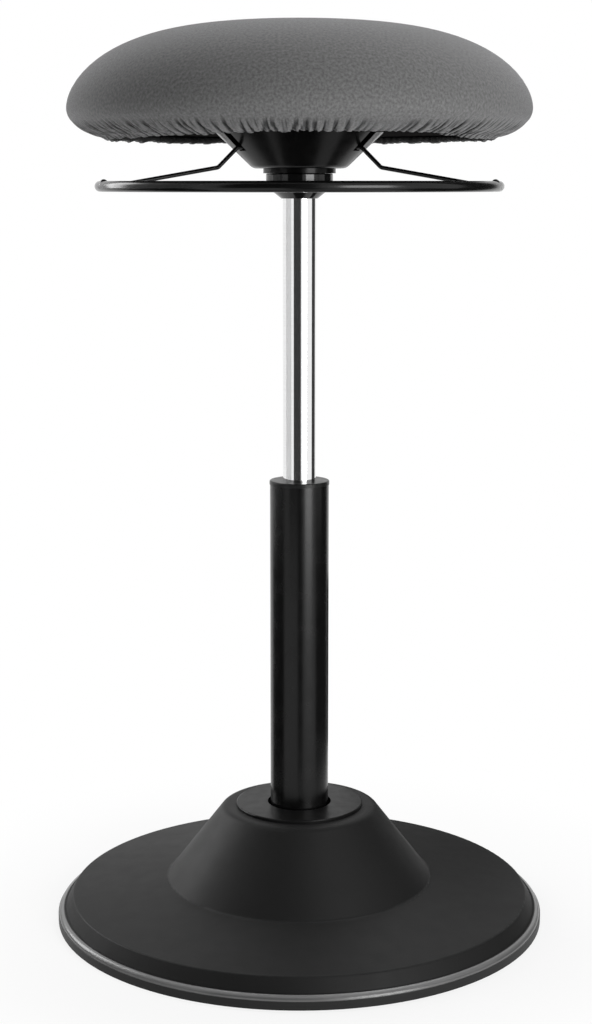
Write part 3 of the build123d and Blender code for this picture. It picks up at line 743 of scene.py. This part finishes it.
board_low, board_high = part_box("seat_board")
board_reach = board_high.x + 0.001
board_under = board_low.z - 0.0006
fold_in = 0.0045
fold_out = 0.0016
slide_limit = 0.003
fold_room = np.clip(1 - (band_above - 0.002) / (1.1 * fold_reach), 0, 1) ** 0.7
band_slope = slope_radius[first_gather:, None], slope_level[first_gather:, None]
band_place = ring_radius[first_gather:, None], ring_level[first_gather:, None]


def keep_in(net):
    """Keep the points on the foam and under the board."""
    radius = np.hypot(net[..., 0], net[..., 1])
    across, up = radius - band_place[0], net[..., 2] - band_place[1]
    out = up * band_slope[0] - across * band_slope[1]
    slid = across * band_slope[0] + up * band_slope[1]
    out = np.clip(out, -fold_in * fold_room[:, None], fold_out * fold_room[:, None])
    slid = np.clip(slid, -slide_limit, slide_limit)
    kept_radius = band_place[0] + slid * band_slope[0] - out * band_slope[1]
    kept_level = band_place[1] + slid * band_slope[1] + out * band_slope[0]
    under_board = kept_radius < board_reach
    kept_level = np.where(under_board, np.minimum(kept_level, board_under), kept_level)
    net[..., :2] *= (kept_radius / radius)[..., None]
    net[..., 2] = kept_level


print("room for folds at the hem:", 1000 * fold_in, "mm in,", 1000 * fold_out, "mm out")

# %% [markdown]
# The spare length comes in slowly, so the folds have time to grow from the creases.

# %% Let the gathers settle
rounds = 260
ring_gap = gather_rings[1] - gather_rings[0]
down_length = np.full((len(band), pleat_steps), ring_gap)
smooth_round = 2 * math.pi * ring_radius[first_gather:, None] / pleat_steps
for settling in range(rounds):
    growth = min(1, (settling + 1) / (0.6 * rounds))
    round_length = smooth_round * (1 + growth * spare)
    fit_round(band, round_length, free)
    fit_down(band, down_length, free, 0, 1.0)
    skew_length = np.hypot(down_length, round_length)
    fit_down(band, skew_length, free, 1, 0.15)
    fit_down(band, skew_length, free, -1, 0.15)
    soften(band, 0.1)
    keep_in(band)
settled_radius = np.hypot(band[-8, :, 0], band[-8, :, 1])
print("folds near the hem: up to", round(1000 * float(np.ptp(settled_radius)), 1), "mm deep")

# %% [markdown]
# The elastic draws the edge of the hem into an almost level line, least at the front, where the
# pleats end in small lobes. There the edge is also drawn up a little, most to the right of the
# front, and it hangs lower at the sides. It could be left as the solver gives it, but then it is
# too ragged.

# %% Edge of the hem
lifted = 0.0036 * np.exp(-(from_front / math.radians(28)) ** 2)
lifted += 0.004 * np.exp(-((from_front - math.radians(30)) / math.radians(14)) ** 2)
edge_wave = 0.0005 * np.sin(23 * turn + 3 * np.sin(7 * turn))
edge_wave += 0.0003 * np.sin(61 * turn + 2 * np.sin(11 * turn))
drawn = 0.8 - 0.5 * np.exp(-(from_front / math.radians(35)) ** 2)
drawn_level = drawn * (hem_bottom - band[-1, :, 2])
hang_height = 0.007
for ring in range(len(band)):
    hang = max(1 - band_above[ring] / hang_height, 0)
    band[ring, :, 2] += hang * (drawn_level + lifted - edge_wave)
hem_rings = 12
hem_ceiling = board_low.z - 0.0016
under_board = np.hypot(band[..., 0], band[..., 1]) < board_reach
kept_below = np.where(under_board, np.minimum(band[..., 2], hem_ceiling), band[..., 2])
band[-hem_rings:, :, 2] = kept_below[-hem_rings:]
hem_edge_radius = np.hypot(band[-1, :, 0], band[-1, :, 1])
hem_edge_level = band[-1, :, 2]
hem_heights = [round(float(z), 4) for z in (hem_edge_level.min(), hem_edge_level.max())]
print("hem from and to", hem_heights, "m, board at", round(board_low.z, 4), "m")


# %% [markdown]
# The cushion is a closed form. From the hem the cloth turns up inside, runs out under the
# board's edge and round it, and a flat face over the board closes the foam.

# %% Skin of the seat
def around(radius, level):
    """A ring of points at a radius and level that may differ from point to point."""
    return np.column_stack([radius * np.cos(turn), radius * np.sin(turn), level + 0 * turn])


def skin(rings):
    """Faces that join rings of points one after another."""
    faces = []
    for ring in range(rings - 1):
        here, below = ring * pleat_steps, (ring + 1) * pleat_steps
        for step in range(pleat_steps):
            after = (step + 1) % pleat_steps
            faces.append((here + step, below + step, below + after, here + after))
    return faces


cloth_inside = hem_edge_radius - 0.0012
below_board = board_low.z - 0.0008
beside_board = board_high.x + 0.0005
inside = [
    around(cloth_inside, hem_edge_level + 0.0003),
    around(cloth_inside, below_board),
    around(beside_board, below_board),
    around(beside_board, board_high.z + 0.0005),
]
cover_rings = list(smooth[:first_gather]) + list(band) + inside
print("rings of the closed cushion:", len(cover_rings))

# %% Mesh of the seat
points = np.vstack(cover_rings + [[(0, 0, crown_top)]])
middle = len(points) - 1
faces = skin(len(cover_rings))
faces += [(middle, step, (step + 1) % pleat_steps) for step in range(pleat_steps)]
faces.append(list(range(middle - pleat_steps, middle))[::-1])
seat_mesh = bpy.data.meshes.new("seat_cushion")
seat_mesh.from_pydata(points.tolist(), [], faces)
seat_mesh.validate()
seat_mesh.shade_smooth()
seat = bpy.data.objects.new("seat_cushion", seat_mesh)
bpy.context.scene.collection.objects.link(seat)
print("faces of the seat:", len(seat_mesh.polygons))

# %% [markdown]
# The weave belongs to the cloth as it was cut, so each point also gets its place on the flat
# cloth: as far from the middle as it lies along the cover.

# %% Cloth as cut
cut_along = np.concatenate([ring_along, [along[-1]] * len(inside)])
rays = np.column_stack([np.cos(turn), np.sin(turn)])
flat = np.vstack([distance * rays for distance in cut_along] + [[(0, 0)]])
cut = seat_mesh.uv_layers.new(name="cloth_as_cut")
corners = np.empty(len(seat_mesh.loops), dtype=np.int32)
seat_mesh.loops.foreach_get("vertex_index", corners)
cut.data.foreach_set("uv", flat[corners].ravel())
print("cloth as cut:", round(2 * along[-1], 3), "m across")

# %% [markdown]
# Each point also keeps how deep it lies in a fold: 0 on the ridges, 1 at the deepest point
# between them. With it the finish paints shade into the valleys of the folds, most where the
# folds are crowded, in place of the shade that the folds would cast.

# %% Depth in the folds, for painted shade
band_across = np.hypot(band[..., 0], band[..., 1]) - band_place[0]
band_up = band[..., 2] - band_place[1]
sunk = band_across * band_slope[1] - band_up * band_slope[0]
ridge, bottom = np.percentile(sunk, (40, 82), axis=1)[..., None]
fold_top = np.clip((fold_reach - band_above) / 0.008, 0, 1)[:, None]
crowded = 1 + 1.6 * np.exp(-((from_front - thickest) / math.radians(14)) ** 2)
crowded += 0.5 * np.exp(-(from_front / math.radians(16)) ** 2)
fold_depth = np.maximum(bottom - ridge, 0.0001)
deep = fold_top * np.clip(crowded * (sunk - ridge) / fold_depth, 0, 1)
painted_valley_shade = np.zeros(len(points))
painted_valley_shade[first_gather * pleat_steps:len(ring_along) * pleat_steps] = deep.ravel()
depth = seat_mesh.attributes.new("painted_valley_shade", "FLOAT", "POINT")
depth.data.foreach_set("value", painted_valley_shade)
print("deepest fold:", round(1000 * sunk.max(), 1), "mm")

# %% [markdown]
# The cloth is a dense grey weave with a little nap. Its threads are under a millimetre wide, so
# from a step away they show as a fine fleck, not as lines. An image of cloth would repeat, so we
# draw the threads in both directions of the cut cloth and fleck them with fine noise.

# %% Threads and flecks
thread = 0.0009
tree, shader = new_finish("cloth", specular=0.15)
cut_place = add_node(tree, "ShaderNodeUVMap", uv_map="cloth_as_cut")


def threads(across):
    """One set of threads, as a wave across the cut cloth."""
    wave = add_node(tree, "ShaderNodeTexWave", bands_direction=across)
    wave.inputs["Scale"].default_value = 0.314 / thread
    wave.inputs["Distortion"].default_value = 0.6
    wave.inputs["Detail"].default_value = 1.0
    link(tree, cut_place.outputs["UV"], wave.inputs["Vector"])
    return wave.outputs["Fac"]


weave = add_node(tree, "ShaderNodeMath", operation="MAXIMUM")
link(tree, threads("X"), weave.inputs[0])
link(tree, threads("Y"), weave.inputs[1])
fleck = add_node(tree, "ShaderNodeTexNoise")
fleck.inputs["Scale"].default_value = 420.0
fleck.inputs["Detail"].default_value = 2.0
fleck.inputs["Roughness"].default_value = 0.6
link(tree, cut_place.outputs["UV"], fleck.inputs["Vector"])
print("threads every", thread * 1000, "mm")

# %% [markdown]
# Now the tones: two greys for the flecks, and painted shade, almost black, in the valleys of the
# folds. The nap stands up a little, so it gets a soft sheen, which catches light at the rim of the
# seat.

# %% Tones, painted shade and nap of the cloth
tone = two_tones(tree, fleck.outputs["Fac"], grey(0.088), grey(0.160))
sunk_in = add_node(tree, "ShaderNodeAttribute", attribute_name="painted_valley_shade")
shade = add_node(tree, "ShaderNodeMapRange")
shade.inputs["To Max"].default_value = 0.93
# Painted shade: the valleys of the folds are toned almost black.
shaded = add_node(tree, "ShaderNodeMix", data_type="RGBA")
shaded.inputs["B"].default_value = (*grey(0.008), 1)
link(tree, sunk_in.outputs["Fac"], shade.inputs["Value"])
link(tree, shade.outputs["Result"], shaded.inputs["Factor"])
link(tree, tone, shaded.inputs["A"])
link(tree, shaded.outputs["Result"], shader.inputs["Base Color"])
link(tree, spread(tree, weave.outputs[0], 0.85, 0.95), shader.inputs["Roughness"])
relief = add_node(tree, "ShaderNodeMath", operation="ADD")
link(tree, weave.outputs[0], relief.inputs[0])
link(tree, fleck.outputs["Fac"], relief.inputs[1])
link(tree, raised(tree, relief.outputs[0], 0.00014, 0.6), shader.inputs["Normal"])
shader.inputs["Sheen Weight"].default_value = 0.25
shader.inputs["Sheen Roughness"].default_value = 0.45
shader.inputs["Sheen Tint"].default_value = (0.8, 0.8, 0.82, 1)
seat_mesh.materials.append(finishes["cloth"])
print("cloth ready, with", len(tree.nodes), "nodes")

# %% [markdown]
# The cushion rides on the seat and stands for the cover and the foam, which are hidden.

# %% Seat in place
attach(seat, "seat")
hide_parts("seat_cover", "seat_foam")
print("seat top at", round(max(v.co.z for v in seat_mesh.vertices), 4), "m")

# %% [markdown]
# The elastic is a dark tape, sewn to the inside of the hem. It ruffles with the cloth and shows
# inside it at the far side. There its dark tone is partly the tape's own and partly painted shade,
# standing in for the shade inside the hem. A tape is simple enough to be drawn straight from the
# hem: six rings make its outer face, its rounded edge and its inner face.

# %% Elastic tape
tape_top = board_low.z - 0.0010
tape_edge = np.minimum(hem_edge_level + 0.0008, tape_top - 0.0012)
tape_rings = [
    around(hem_edge_radius - 0.0016, tape_top),
    around(hem_edge_radius - 0.0016, tape_edge + 0.0006),
    around(hem_edge_radius - 0.0022, tape_edge),
    around(hem_edge_radius - 0.0031, tape_edge + 0.0001),
    around(hem_edge_radius - 0.0034, tape_edge + 0.0010),
    around(hem_edge_radius - 0.0030, tape_top),
]
tape_mesh = bpy.data.meshes.new("hem_tape_and_painted_shade")
tape_points = np.vstack(tape_rings + tape_rings[:1]).tolist()
tape_mesh.from_pydata(tape_points, [], skin(len(tape_rings) + 1))
tape_mesh.validate()
tape_mesh.shade_smooth()
tape = bpy.data.objects.new("hem_tape_and_painted_shade", tape_mesh)
bpy.context.scene.collection.objects.link(tape)
print("tape:", len(tape_mesh.polygons), "faces")

# %% Finish of the tape, partly painted shade
tree, shader = new_finish("elastic", specular=0.15)
ribs = grain(tree, 0.0012, 2.0, stretch=(1.0, 1.0, 4.0))
# Partly painted shade: the tape's dark tone also stands for the shade inside the hem.
link(tree, two_tones(tree, ribs, grey(0.02), grey(0.045)), shader.inputs["Base Color"])
link(tree, spread(tree, ribs, 0.75, 0.9), shader.inputs["Roughness"])
link(tree, raised(tree, ribs, 0.0002, 0.6), shader.inputs["Normal"])
tape_mesh.materials.append(finishes["elastic"])
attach(tape, "seat")
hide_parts("hem_elastic")
print("tape finished")

# %% [markdown]
# ## Finish
#
# The colours are shown as they are, without a film look.

# %% Colours
bpy.context.scene.view_settings.view_transform = "Standard"
